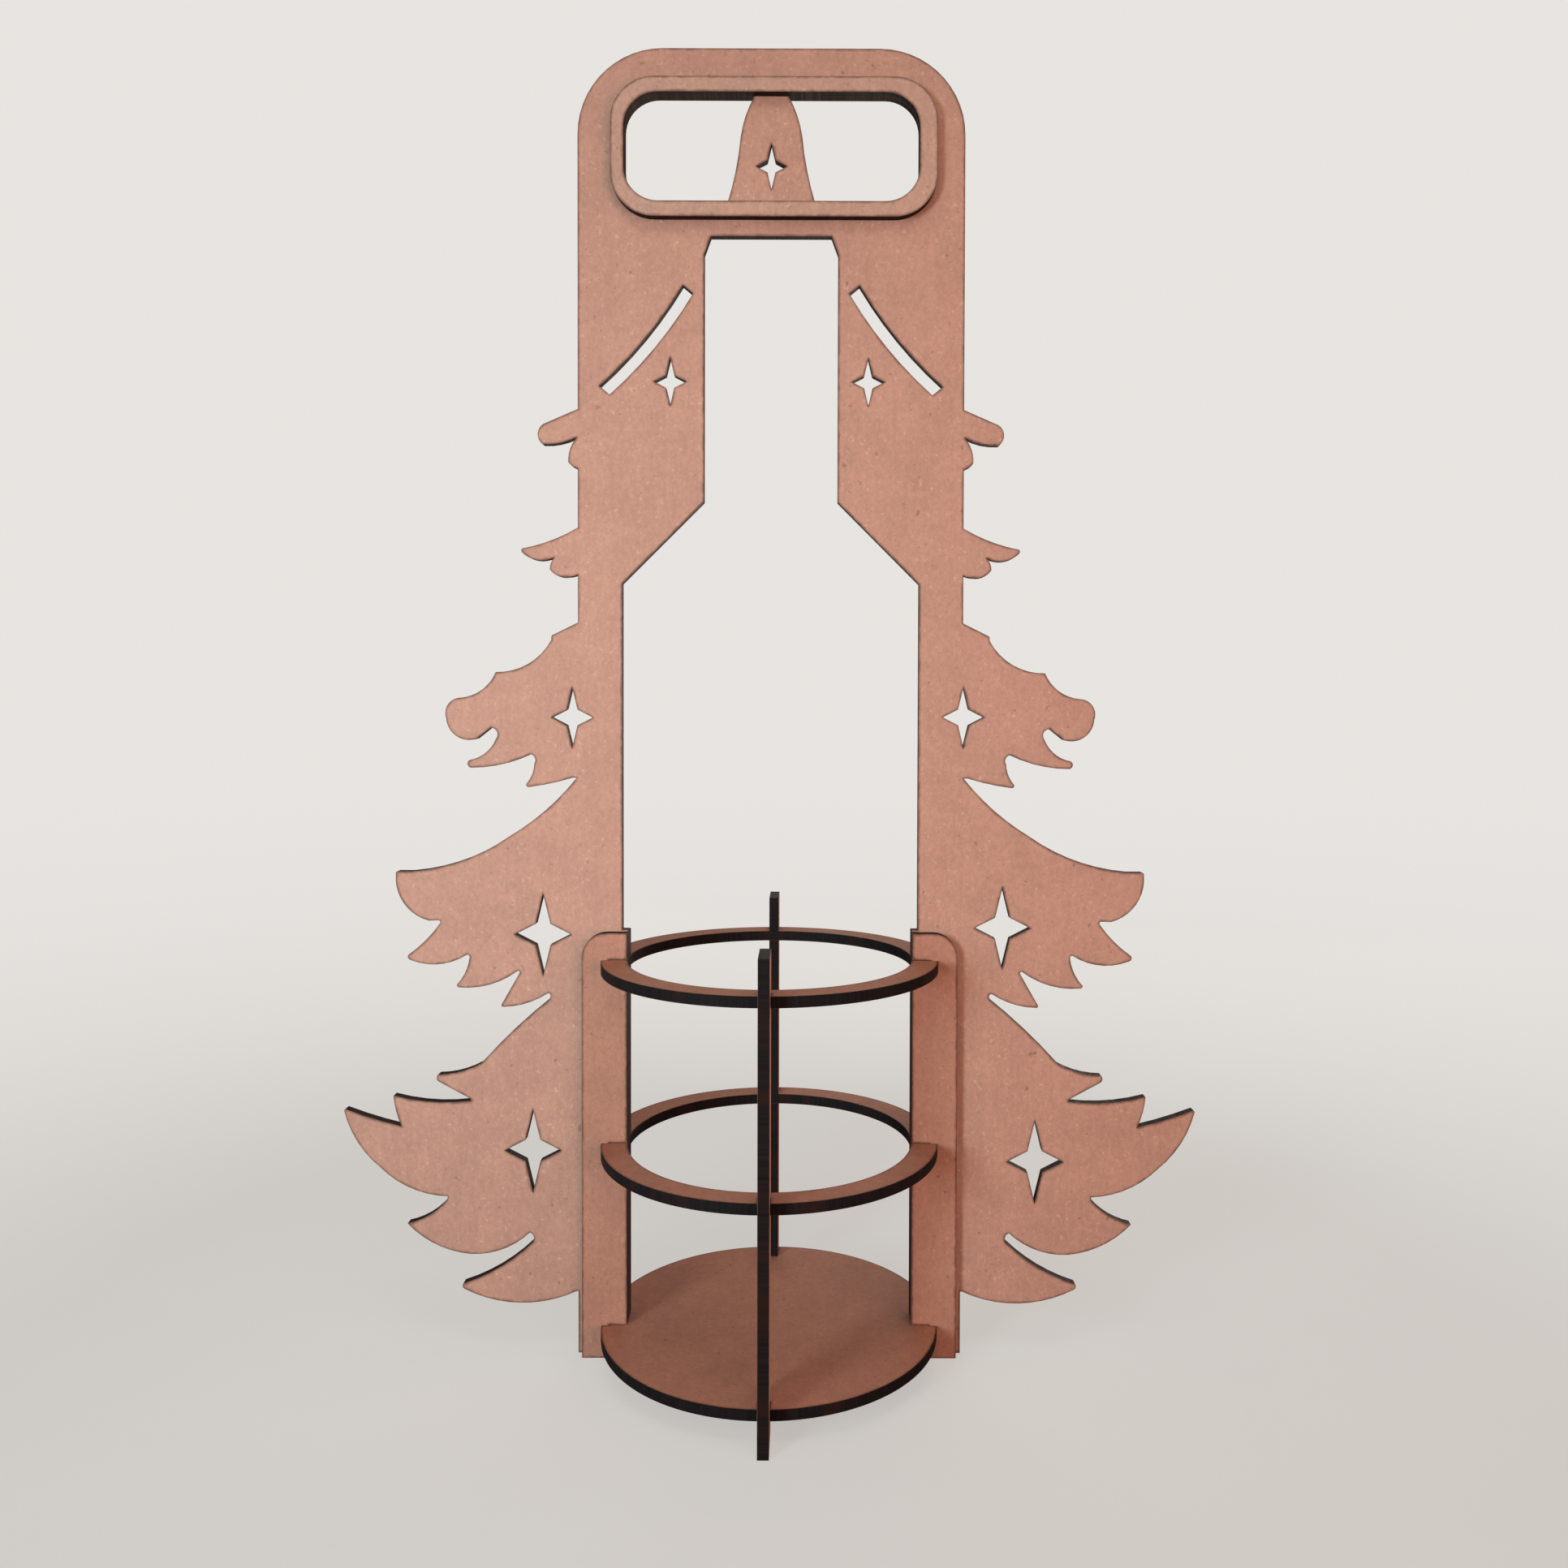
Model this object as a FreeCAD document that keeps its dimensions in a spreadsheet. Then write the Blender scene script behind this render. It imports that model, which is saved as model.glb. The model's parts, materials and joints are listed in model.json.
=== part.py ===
import FreeCAD, Part
import math
import os
import types

import Sketcher

# A tall carrier with a round well, cut from thin fibreboard, slotted together and glued.
# The tree-shaped panel stands across the middle. Two rings and a base disc pass through it, four cheeks
# lock them to it, and an upright at the front and one at the rear tie them together and reach the floor.
# Millimetres: X to the right, Y away from the viewer, Z up, origin on the floor under the middle.

# Driving dimensions, kept in the sheet under the same names
SIZES = {
    # Board stock, and the room left in a slot
    "sheet_thickness": 3.2,
    "fit_gap": 0.1,
    # Round well: two rings above a base disc, evenly spaced
    "well_radius": 43.6,
    "ring_width": 8.1,
    "shoulder_depth": 2.7,
    "base_top": 10.2,
    "ring_spacing": 56.2,
    # Cheeks, which reach above the upper ring
    "cheek_width": 13.8,
    "cheek_rise": 8.2,
    "cheek_corner": 7.5,
    # Uprights, which stand proud of the rings and reach above the upper one
    "upright_nose": 6.2,
    "upright_rise": 11.4,
    # Panel, a little wider than the cheeks
    "panel_height": 400.0,
    "panel_margin": 1.6,
    "panel_corner": 26.0,
    # Hand hole, its distance below the top of the panel and beside the middle
    "hand_hole_width": 89.6,
    "hand_hole_height": 32.6,
    "hand_hole_corner": 10.4,
    "hand_hole_drop": 30.8,
    "hand_hole_offset": 0.15,
    # Rim of the ring round the hand hole, which sits a little to the right of the hole
    "handle_border": 4.7,
    "handle_corner": 13.2,
    "handle_shift": 0.75,
    # Treetop that parts the hand hole in two: half widths at its tip, shoulder and foot
    "treetop_tip": 5.3,
    "treetop_shoulder": 9.4,
    "treetop_foot": 13.5,
    "treetop_shoulder_drop": 12.2,
    # Neck window, below the hand hole, and the wide window that it opens into
    "neck_web": 9.6,
    "neck_half_width": 20.4,
    "neck_cut_across": 2.0,
    "neck_cut_down": 5.4,
    "window_relief": 1.8,
    "ledge_gap": 0.6,
    # Curved slashes between the neck window and the panel's sides
    "slash_inset": 5.0,
    "slash_margin": 8.2,
    "slash_drop": 16.1,
    "slash_fall": 30.7,
    "slash_width": 4.0,
    # Half widths of the sparkle stars, and how much taller than wide they are
    "treetop_star": 4.7,
    "neck_star": 4.9,
    "tier_3_star": 6.3,
    "tier_4_star": 8.6,
    "tier_5_star": 8.7,
    "star_stretch": 1.46,
}

# Heights of the bough tiers' upper roots and of the wide window's shoulder, as shares of the panel's height
TIER_SHARES = {"tier_1": 0.7275, "tier_2": 0.63675, "tier_3": 0.56425, "tier_4": 0.4465, "tier_5": 0.277}
SHOULDER_SHARE = 0.594

# Bough outlines, from the upper root outwards and back to the lower root. Each corner is its distance out
# from the panel's side, its height above the tier's own height, and how far the edge to the next corner
# swells (+) or hollows (-) from a straight line. They are drawn for a panel of this height.
DRAWN_HEIGHT = 400.0
BOUGHS = {
    "tier_1": [
        (0, -0.2, 0), (10.4, -4.7, 1.75), (10.6, -11.0, 0.7), (0.3, -8.8, 0.8), (2.9, -16.4, 0.3),
        (0, -18.3, 0),
    ],
    "tier_2": [
        (0, 0, -0.8), (17.0, -6.4, 0.25), (17.1, -7.6, 0.7), (10.9, -10.1, 0.2), (7.2, -9.1, 0.35),
        (8.6, -12.7, 0.9), (3.2, -15.1, 0.2), (0, -14.4, 0),
    ],
    "tier_3": [
        (0, 0, 0), (8.1, -4.0, 0), (8.2, -5.4, -2.8), (25.2, -15.2, -1.9), (36.0, -23.1, 2.0),
        (40.4, -29.5, 2.8), (31.0, -35.7, 0), (26.9, -32.4, -1.2), (25.1, -35.5, -1.4), (33.2, -42.2, 0.9),
        (32.8, -44.6, 1.1), (14.6, -40.4, -0.8), (13.4, -43.2, -0.6), (15.9, -49.5, 0.4), (15.0, -50.5, 0.3),
        (1.6, -47.6, 0),
    ],
    "tier_4": [
        (0, 0, -1.3), (21.0, -18.5, -2.15), (51.0, -29.4, 0), (55.3, -29.4, 0.3), (56.0, -30.2, 3.2),
        (46.0, -44.6, 0), (43.0, -44.5, -0.3), (42.5, -45.4, -0.6), (52.2, -55.1, 0.5), (51.5, -56.8, 2.1),
        (34.2, -55.1, -0.2), (33.4, -55.7, -0.8), (37.4, -64.4, 0.2), (36.6, -65.2, 1.7),
        (18.8, -60.2, -0.3), (18.0, -60.6, 0), (23.7, -70.6, 0.2), (23.0, -71.2, 1.0),
        (9.4, -67.0, -0.3), (8.5, -67.8, 0),
    ],
    "tier_5": [
        (8.5, 0, 0), (8.8, -1.0, 0.6), (29.9, -20.9, -0.85), (43.2, -24.4, 0.5), (43.1, -26.5, 0),
        (33.2, -31.9, -0.25), (33.4, -32.5, -1.15), (57.0, -30.9, 0.45), (54.5, -40.4, -0.3),
        (71.6, -35.2, 0.2), (72.2, -35.7, 1.7), (61.0, -53.3, 2.15), (40.3, -62.2, 0), (40.6, -63.4, -1.2),
        (52.8, -70.6, 2.0), (33.3, -80.1, 2.0), (15.0, -73.4, -0.75), (14.1, -76.4, -1.45),
        (35.6, -89.3, 0.4), (35.2, -91.0, 4.0), (0.5, -91.6, 0),
    ],
}

# How deep each tier's two roots run into the panel, and how far up or down they run there
ROOT_DEPTH = 6.0
ROOT_SPREAD = {"tier_4": (0, -6.0), "tier_5": (4.0, 0)}

# Stars on the boughs: out from the panel's side and up from the tier's height, left and right
BOUGH_STARS = {
    "tier_3": ((1.8, -29.1), (0.2, -28.8)),
    "tier_4": ((10.8, -48.8), (12.5, -46.6)),
    "tier_5": ((14.0, -47.9), (22.9, -51.2)),
}
# Stars beside the neck window: from the middle, and down from the window's top, left and right
NECK_STARS = (-30.8, 29.7)
NECK_STAR_DROP = 44.1
# Star on the treetop, below the middle of the hand hole
TREETOP_STAR_DROP = 4.75
# A star's inner corners, as a share of its reach
STAR_WAIST = 0.26

# Swell of the treetop's edges, of the slashes, and of a quarter circle of radius one
TREETOP_SWELL = 0.6
TREETOP_HOLLOW = -0.55
SLASH_SWELL = 1.5
QUARTER_SWELL = 1 - math.sqrt(0.5)


class Size:
    """A length in millimetres, with the sheet formula that gives it."""

    def __init__(self, value, formula):
        self.value = float(value)
        self.formula = formula

    def joined(self, other, sign, value):
        return Size(value, f"({self.formula} {sign} {as_size(other).formula})")

    def __add__(self, other):
        return self.joined(other, "+", self.value + as_size(other).value)

    def __sub__(self, other):
        return self.joined(other, "-", self.value - as_size(other).value)

    def __mul__(self, other):
        return self.joined(other, "*", self.value * as_size(other).value)

    def __truediv__(self, other):
        return self.joined(other, "/", self.value / as_size(other).value)

    def __neg__(self):
        return self * -1


def as_size(length):
    """A plain number as a Size."""
    if isinstance(length, Size):
        return length
    return Size(length, f"({float(length)!r})")


def fill_sheet(doc):
    """Write the driving dimensions to the sheet and return them by name."""
    sheet = doc.addObject("Spreadsheet::Sheet", "Sizes")
    for row, (alias, value) in enumerate(SIZES.items(), start=1):
        sheet.set(f"A{row}", alias)
        sheet.set(f"B{row}", str(value))
        sheet.setAlias(f"B{row}", alias)
    doc.recompute()
    named = {alias: Size(sheet.get(alias), f"Sizes.{alias}") for alias in SIZES}
    return types.SimpleNamespace(**named)


doc = FreeCAD.newDocument("bottle_caddy")
s = fill_sheet(doc)

# Sizes that follow from the driving ones
board = s.sheet_thickness
ring_outer = s.well_radius + s.ring_width
waist = ring_outer - s.shoulder_depth
lap = s.well_radius + s.ring_width / 2
panel_half = s.well_radius + s.cheek_width + s.panel_margin
stretch = s.panel_height / DRAWN_HEIGHT
tier_heights = {tier: s.panel_height * share for tier, share in TIER_SHARES.items()}
window_shoulder = s.panel_height * SHOULDER_SHARE
shelf_tops = [s.base_top + s.ring_spacing * level for level in range(3)]
cheek_height = shelf_tops[-1] + s.cheek_rise
upright_height = shelf_tops[-1] + s.upright_rise
hand_middle = s.panel_height - s.hand_hole_drop
hand_top = hand_middle + s.hand_hole_height / 2
hand_bottom = hand_middle - s.hand_hole_height / 2
neck_top = hand_bottom - s.neck_web


def new_body(label, place=(0, 0, 0)):
    """A named piece, moved to its place in the assembly."""
    body = doc.addObject("PartDesign::Body", label)
    body.Label = label
    for axis, length in zip("xyz", place):
        body.setExpression(f"Placement.Base.{axis}", as_size(length).formula)
    return body


def new_sketch(body, role, name, place=(0, 0)):
    """A sketch on one of the piece's own planes, with its origin moved to place."""
    sketch = body.newObject("Sketcher::SketchObject", name)
    plane = [feature for feature in body.Origin.OriginFeatures if feature.Role == role][0]
    sketch.AttachmentSupport = [(plane, "")]
    sketch.MapMode = "FlatFace"
    for axis, length in zip("xy", place):
        sketch.setExpression(f"AttachmentOffset.Base.{axis}", as_size(length).formula)
    return sketch


def draw_outline(sketch, corners):
    """A closed outline of lines and arcs; each corner is x, y and the swell of the edge that leaves it."""
    first = sketch.GeometryCount
    points = [FreeCAD.Vector(as_size(x).value, as_size(y).value, 0) for x, y, swell in corners]
    edges = []
    ends = []
    for index, (x, y, swell) in enumerate(corners):
        start = points[index]
        end = points[(index + 1) % len(points)]
        rise = as_size(swell).value
        left = FreeCAD.Vector(start.y - end.y, end.x - start.x, 0).normalize()
        middle = (start + end) * 0.5 + left * rise
        if rise == 0:
            edges.append(Part.LineSegment(start, end))
        elif rise < 0:
            edges.append(Part.Arc(start, middle, end))
        else:
            edges.append(Part.Arc(end, middle, start))
        ends.append((2, 1) if rise > 0 else (1, 2))
    sketch.addGeometry(edges, False)
    joints = []
    for index in range(len(corners)):
        after = (index + 1) % len(corners)
        leaving = (first + index, ends[index][1])
        arriving = (first + after, ends[after][0])
        joints.append(Sketcher.Constraint("Coincident", *leaving, *arriving))
    sketch.addConstraint(joints)
    for index, (x, y, swell) in enumerate(corners):
        for kind, length in (("DistanceX", as_size(x)), ("DistanceY", as_size(y))):
            place = Sketcher.Constraint(kind, -1, 1, first + index, ends[index][0], length.value)
            number = sketch.addConstraint(place)
            if "Sizes." in length.formula:
                sketch.setExpression(f"Constraints[{number}]", length.formula)


def draw_rectangle(sketch, x_low, x_high, y_low, y_high):
    """A rectangle between two corners."""
    draw_outline(sketch, [(x_low, y_low, 0), (x_high, y_low, 0), (x_high, y_high, 0), (x_low, y_high, 0)])


def draw_rounded_rectangle(sketch, half_width, half_height, radius):
    """A rectangle about the origin with quarter-circle corners."""
    swell = -(radius * QUARTER_SWELL)
    straight_x = half_width - radius
    straight_y = half_height - radius
    draw_outline(sketch, [
        (-straight_x, -half_height, 0), (straight_x, -half_height, swell),
        (half_width, -straight_y, 0), (half_width, straight_y, swell),
        (straight_x, half_height, 0), (-straight_x, half_height, swell),
        (-half_width, straight_y, 0), (-half_width, -straight_y, swell),
    ])


def draw_circle(sketch, radius):
    """A circle about the origin."""
    centre = FreeCAD.Vector(0, 0, 0)
    number = sketch.addGeometry(Part.Circle(centre, FreeCAD.Vector(0, 0, 1), radius.value), False)
    sketch.addConstraint(Sketcher.Constraint("Coincident", number, 3, -1, 1))
    size = sketch.addConstraint(Sketcher.Constraint("Radius", number, radius.value))
    sketch.setExpression(f"Constraints[{size}]", radius.formula)


def draw_star(sketch, x, y, reach):
    """A four-pointed sparkle, taller than wide."""
    tall = reach * s.star_stretch
    corners = []
    for across, up in ((0, 1), (1, 0), (0, -1), (-1, 0)):
        corners.append((x + reach * across, y + tall * up, 0))
        turn_x = across + up
        turn_y = up - across
        corners.append((x + reach * STAR_WAIST * turn_x, y + tall * STAR_WAIST * turn_y, 0))
    draw_outline(sketch, corners)


def pad(body, sketch):
    """The sketch as one thickness of board, half to each side of its plane."""
    feature = body.newObject("PartDesign::Pad", sketch.Name + "_board")
    feature.Profile = sketch
    feature.SideType = "Symmetric"
    feature.setExpression("Length", board.formula)
    doc.recompute()
    return feature


def cut_through(body, sketch):
    """Cut the sketch right through the board; it has to take something away."""
    before = body.Shape.Volume
    feature = body.newObject("PartDesign::Pocket", sketch.Name + "_cut")
    feature.Profile = sketch
    feature.SideType = "Symmetric"
    feature.Type = "ThroughAll"
    doc.recompute()
    if body.Shape.Volume >= before:
        raise RuntimeError(f"{sketch.Name} cuts nothing from {body.Label}")
    return feature


def add_boughs(body):
    """The boughs of the right side, tier by tier, and their mirror image on the left."""
    tiers = []
    for tier, corners in BOUGHS.items():
        sketch = new_sketch(body, "XZ_Plane", f"{tier}_boughs", (panel_half, tier_heights[tier]))
        upper, lower = ROOT_SPREAD.get(tier, (0, 0))
        inner_roots = [(-ROOT_DEPTH, corners[-1][1] + lower, 0), (-ROOT_DEPTH, corners[0][1] + upper, 0)]
        draw_outline(sketch, [(out, stretch * up, swell) for out, up, swell in corners + inner_roots])
        tiers.append(pad(body, sketch))
    mirror = body.newObject("PartDesign::Mirrored", "left_boughs")
    mirror.Originals = tiers
    mirror.MirrorPlane = ([f for f in body.Origin.OriginFeatures if f.Role == "YZ_Plane"][0], [""])
    body.Tip = mirror
    doc.recompute()


def cut_hand_holes(body):
    """The two halves of the hand hole, left and right of the treetop."""
    sketch = new_sketch(body, "XZ_Plane", "hand_holes")
    radius = s.hand_hole_corner
    shoulder = hand_top - s.treetop_shoulder_drop
    for side in (-1, 1):
        outer = s.hand_hole_width / 2 * side + s.hand_hole_offset
        straight = outer - radius * side
        swell = radius * QUARTER_SWELL * -side
        draw_outline(sketch, [
            (s.treetop_foot * side, hand_bottom, 0), (straight, hand_bottom, swell),
            (outer, hand_bottom + radius, 0), (outer, hand_top - radius, swell),
            (straight, hand_top, 0), (s.treetop_tip * side, hand_top, TREETOP_SWELL * side),
            (s.treetop_shoulder * side, shoulder, TREETOP_HOLLOW * side),
        ])
    cut_through(body, sketch)


def cut_windows(body):
    """The neck window, the wide window below it, and the narrower throat between the cheeks."""
    sketch = new_sketch(body, "XZ_Plane", "windows")
    wide = s.well_radius + s.window_relief
    slope_top = window_shoulder + (wide - s.neck_half_width)
    ledge = cheek_height + s.ledge_gap
    right_side = [
        (s.well_radius, s.base_top - board), (s.well_radius, ledge), (wide, ledge), (wide, window_shoulder),
        (s.neck_half_width, slope_top), (s.neck_half_width, neck_top - s.neck_cut_down),
        (s.neck_half_width - s.neck_cut_across, neck_top),
    ]
    corners = [(x, y, 0) for x, y in right_side] + [(-x, y, 0) for x, y in reversed(right_side)]
    draw_outline(sketch, corners)
    cut_through(body, sketch)


def cut_slashes(body):
    """A curved slash each side of the neck window, following the boughs' fall."""
    sketch = new_sketch(body, "XZ_Plane", "slashes")
    inner = s.neck_half_width + s.slash_inset
    outer = panel_half - s.slash_margin
    run = (outer - inner).value
    length = math.hypot(run, s.slash_fall.value)
    across = s.slash_width / 2 * (s.slash_fall.value / length)
    up = s.slash_width / 2 * (run / length)
    top = neck_top - s.slash_drop
    bottom = top - s.slash_fall
    for side in (-1, 1):
        swell = SLASH_SWELL * side
        draw_outline(sketch, [
            ((inner + across) * side, top + up, -swell), ((outer + across) * side, bottom + up, 0),
            ((outer - across) * side, bottom - up, swell), ((inner - across) * side, top - up, 0),
        ])
    cut_through(body, sketch)


def cut_stars(body):
    """One star on the treetop, two beside the neck window, and one on each of the larger boughs."""
    sketch = new_sketch(body, "XZ_Plane", "stars")
    draw_star(sketch, as_size(0), hand_middle - TREETOP_STAR_DROP, s.treetop_star)
    for x in NECK_STARS:
        draw_star(sketch, as_size(x), neck_top - NECK_STAR_DROP, s.neck_star)
    for tier, places in BOUGH_STARS.items():
        reach = getattr(s, f"{tier}_star")
        for side, (out, up) in zip((-1, 1), places):
            draw_star(sketch, (panel_half + out) * side, tier_heights[tier] + stretch * up, reach)
    cut_through(body, sketch)


def cut_shelf_slots(body, role, name, low, high):
    """Slots for the base disc and both rings, each open by the fit gap above its shelf."""
    sketch = new_sketch(body, role, name)
    for top in shelf_tops:
        draw_rectangle(sketch, low, high, top - board, top + s.fit_gap)
    cut_through(body, sketch)


def make_panel():
    """The tree-shaped panel: board, boughs, hand holes, windows, slots and stars."""
    body = new_body("tree_panel")
    sketch = new_sketch(body, "XZ_Plane", "panel")
    radius = s.panel_corner
    swell = -(radius * QUARTER_SWELL)
    draw_outline(sketch, [
        (-panel_half, 0, 0), (panel_half, 0, 0), (panel_half, s.panel_height - radius, swell),
        (panel_half - radius, s.panel_height, 0), (-(panel_half - radius), s.panel_height, swell),
        (-panel_half, s.panel_height - radius, 0),
    ])
    pad(body, sketch)
    add_boughs(body)
    cut_hand_holes(body)
    cut_windows(body)
    cut_slashes(body)
    cut_stars(body)
    reach = ring_outer + s.fit_gap
    cut_shelf_slots(body, "XZ_Plane", "shelf_slots", -reach, reach)
    return body


def make_handle_ring():
    """The ring that thickens the hand hole, glued to the front of the panel."""
    body = new_body("handle_ring", (s.hand_hole_offset + s.handle_shift, -board, hand_middle))
    half_width = s.hand_hole_width / 2
    half_height = s.hand_hole_height / 2
    rim = new_sketch(body, "XZ_Plane", "handle_rim")
    draw_rounded_rectangle(rim, half_width + s.handle_border, half_height + s.handle_border, s.handle_corner)
    pad(body, rim)
    hole = new_sketch(body, "XZ_Plane", "handle_hole", (-s.handle_shift, 0))
    draw_rounded_rectangle(hole, half_width, half_height, s.hand_hole_corner)
    cut_through(body, hole)
    return body


def make_cheek(label, side, face):
    """A strip beside the well, glued to one face of the panel, with slots that grip the shelves' waists."""
    body = new_body(label, (0, board * face, 0))
    sketch = new_sketch(body, "XZ_Plane", "cheek")
    radius = s.cheek_corner
    outer = s.well_radius + s.cheek_width
    draw_outline(sketch, [
        (s.well_radius * side, 0, 0), (outer * side, 0, 0),
        (outer * side, cheek_height - radius, radius * QUARTER_SWELL * -side),
        ((outer - radius) * side, cheek_height, 0), (s.well_radius * side, cheek_height, 0),
    ])
    pad(body, sketch)
    slot_start = (s.well_radius - board) * side
    slot_end = (waist + s.fit_gap) * side
    cut_shelf_slots(body, "XZ_Plane", "shelf_slots", slot_start, slot_end)
    return body


def make_shelf(label, top, is_ring):
    """A ring or the base disc, waisted where it passes the cheeks and notched for the uprights."""
    body = new_body(label, (0, 0, top - board / 2))
    sketch = new_sketch(body, "XY_Plane", "shelf")
    draw_circle(sketch, ring_outer)
    if is_ring:
        draw_circle(sketch, s.well_radius)
    pad(body, sketch)
    past_rim = ring_outer + board
    stack_room = board * 1.5 + s.fit_gap
    board_room = board / 2 + s.fit_gap
    notches = new_sketch(body, "XY_Plane", "notches")
    for side in (-1, 1):
        draw_rectangle(notches, waist * side, past_rim * side, -stack_room, stack_room)
        draw_rectangle(notches, -board_room, board_room, lap * side, past_rim * side)
    cut_through(body, notches)
    return body


def make_upright(label, face):
    """A bar on edge from the floor to above the upper ring, half lapped with the shelves."""
    body = new_body(label)
    sketch = new_sketch(body, "YZ_Plane", "upright")
    draw_rectangle(sketch, s.well_radius * face, (ring_outer + s.upright_nose) * face, 0, upright_height)
    pad(body, sketch)
    cut_shelf_slots(body, "YZ_Plane", "shelf_slots", (s.well_radius - board) * face, lap * face)
    return body


def make_pieces():
    """Every piece of the carrier, in place."""
    pieces = [make_panel(), make_handle_ring()]
    for face_name, face in (("front", -1), ("rear", 1)):
        for side_name, side in (("left", -1), ("right", 1)):
            pieces.append(make_cheek(f"{face_name}_{side_name}_cheek", side, face))
        pieces.append(make_upright(f"{face_name}_upright", face))
    pieces.append(make_shelf("base_disc", shelf_tops[0], is_ring=False))
    pieces.append(make_shelf("lower_ring", shelf_tops[1], is_ring=True))
    pieces.append(make_shelf("upper_ring", shelf_tops[2], is_ring=True))
    return pieces


pieces = make_pieces()
doc.recompute()

for item in doc.Objects:
    if "Invalid" in item.State or "Error" in item.State:
        raise RuntimeError(f"{item.Label} failed: {item.State}")
for piece in pieces:
    if piece.Shape.isNull() or not piece.Shape.isValid() or len(piece.Shape.Solids) != 1:
        raise RuntimeError(f"{piece.Label} is not one valid solid")

os.makedirs("parts", exist_ok=True)
for piece in pieces:
    piece.Shape.exportStep(f"parts/{piece.Label}.step")
    print(piece.Label, round(piece.Shape.Volume, 1), piece.Shape.BoundBox)
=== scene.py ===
# %% [markdown]
# # A tree-shaped carrier in laser-cut fibreboard
#
# The carrier is a flat-pack object: eleven boards of one thickness, slotted into each other and glued.
# A laser cut every outline, so each board has a pale, mottled face, a black scorched edge, and a thin
# brown smoke line where the face meets the cut.
#
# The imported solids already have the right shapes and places. They are loaded first and never moved.
# Each board is then drawn again over its own solid, with the fine points that its finish needs.

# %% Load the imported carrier
import json
import math

import bmesh
import bpy
import numpy as np
from mathutils import Matrix, Vector
from mathutils.geometry import delaunay_2d_cdt
from mathutils.kdtree import KDTree


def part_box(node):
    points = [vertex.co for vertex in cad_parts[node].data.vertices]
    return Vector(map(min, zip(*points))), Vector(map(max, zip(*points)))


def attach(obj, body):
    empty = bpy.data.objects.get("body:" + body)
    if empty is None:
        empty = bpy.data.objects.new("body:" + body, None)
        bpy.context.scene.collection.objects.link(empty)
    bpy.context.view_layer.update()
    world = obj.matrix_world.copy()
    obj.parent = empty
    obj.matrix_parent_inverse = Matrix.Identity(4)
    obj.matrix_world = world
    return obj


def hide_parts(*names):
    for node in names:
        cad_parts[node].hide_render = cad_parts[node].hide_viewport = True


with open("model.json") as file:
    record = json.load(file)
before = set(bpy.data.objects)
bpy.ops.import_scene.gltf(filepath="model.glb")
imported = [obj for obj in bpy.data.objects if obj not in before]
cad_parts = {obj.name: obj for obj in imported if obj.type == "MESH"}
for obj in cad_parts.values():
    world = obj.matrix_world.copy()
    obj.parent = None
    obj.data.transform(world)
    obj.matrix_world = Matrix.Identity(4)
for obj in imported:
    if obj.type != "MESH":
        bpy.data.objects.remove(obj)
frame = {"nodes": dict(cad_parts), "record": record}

MM = 0.001
scene = bpy.context.scene
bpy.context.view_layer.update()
print("boards:", len(frame["nodes"]))

# %% [markdown]
# ## The flat outline of a board
#
# A board is thin along one axis and flat along the other two. Its shape is a set of closed outlines: the
# rim, and one more for each hole. They could be drawn again by hand, but the solids already hold them, so
# they are read from a copy of each solid's mesh. An edge of the flat side that has only one flat
# triangle is on an outline, and following such edges from corner to corner closes the loop.

# %% Read the outlines
# A face that points this much along the thin axis is on the board's upper side
FACING = 0.99
# Points closer than this, in metres, are one point
SAME_POINT = 1e-6


def thin_axis(node):
    """The axis along which a board is thinnest: 0, 1 or 2 for X, Y or Z."""
    low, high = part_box(node)
    spans = list(high - low)
    return spans.index(min(spans))


def flat_axes(thin):
    """The two axes that a board lies in, in right-handed order about its thin axis."""
    return (thin + 1) % 3, (thin + 2) % 3


def outlines_of(node):
    """The closed outlines of a board's upper side, each an array of points in millimetres."""
    thin = thin_axis(node)
    flat = flat_axes(thin)
    solid = bmesh.new()
    solid.from_mesh(frame["nodes"][node].data)
    bmesh.ops.remove_doubles(solid, verts=solid.verts, dist=SAME_POINT)
    for face in solid.faces:
        face.tag = face.normal[thin] > FACING
    following = {}
    for face in solid.faces:
        for corner in face.loops:
            if face.tag and sum(other.tag for other in corner.edge.link_faces) == 1:
                following[corner.vert] = corner.link_loop_next.vert
    found = []
    while following:
        first, here = following.popitem()
        points = [first]
        while here is not first:
            points.append(here)
            here = following.pop(here)
        found.append(np.array([[point.co[axis] / MM for axis in flat] for point in points]))
    solid.free()
    return found


outlines = {node: outlines_of(node) for node in sorted(frame["nodes"])}
for node, found in outlines.items():
    print(node, "lies across axis", "XYZ"[thin_axis(node)], "with", len(found), "outlines")

# %% [markdown]
# ## A sheet with points where the finish needs them
#
# The smoke line is about a millimetre wide, so the face needs rows of points close to every cut, and only
# a few elsewhere. An even grid that fine would take millions of faces. Here the outlines get a point every
# millimetre or so, then three rows of points are set back from them, and a coarse grid fills the middle.

# %% Divide the cuts
# The longest edge along a cut, in mm
CUT_STEP = 1.3


def divided(outline):
    """The outline with its long edges divided into short ones."""
    points = []
    for start, end in zip(outline, np.roll(outline, -1, axis=0)):
        parts = max(1, math.ceil(np.hypot(*(end - start)) / CUT_STEP))
        points.extend(start + (end - start) * part / parts for part in range(parts))
    return np.array(points)


cuts = {node: [divided(outline) for outline in found] for node, found in outlines.items()}
for node, found in cuts.items():
    print(node, "has", sum(len(cut) for cut in found), "points along its cuts")

# %% Set rows back from the cuts
# How far each row lies from its cut, in mm
SET_BACKS = (0.3, 0.8, 1.8)
# A row's point is left out where a cut comes closer than this share of its set-back
CLOSEST = 0.85


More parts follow.
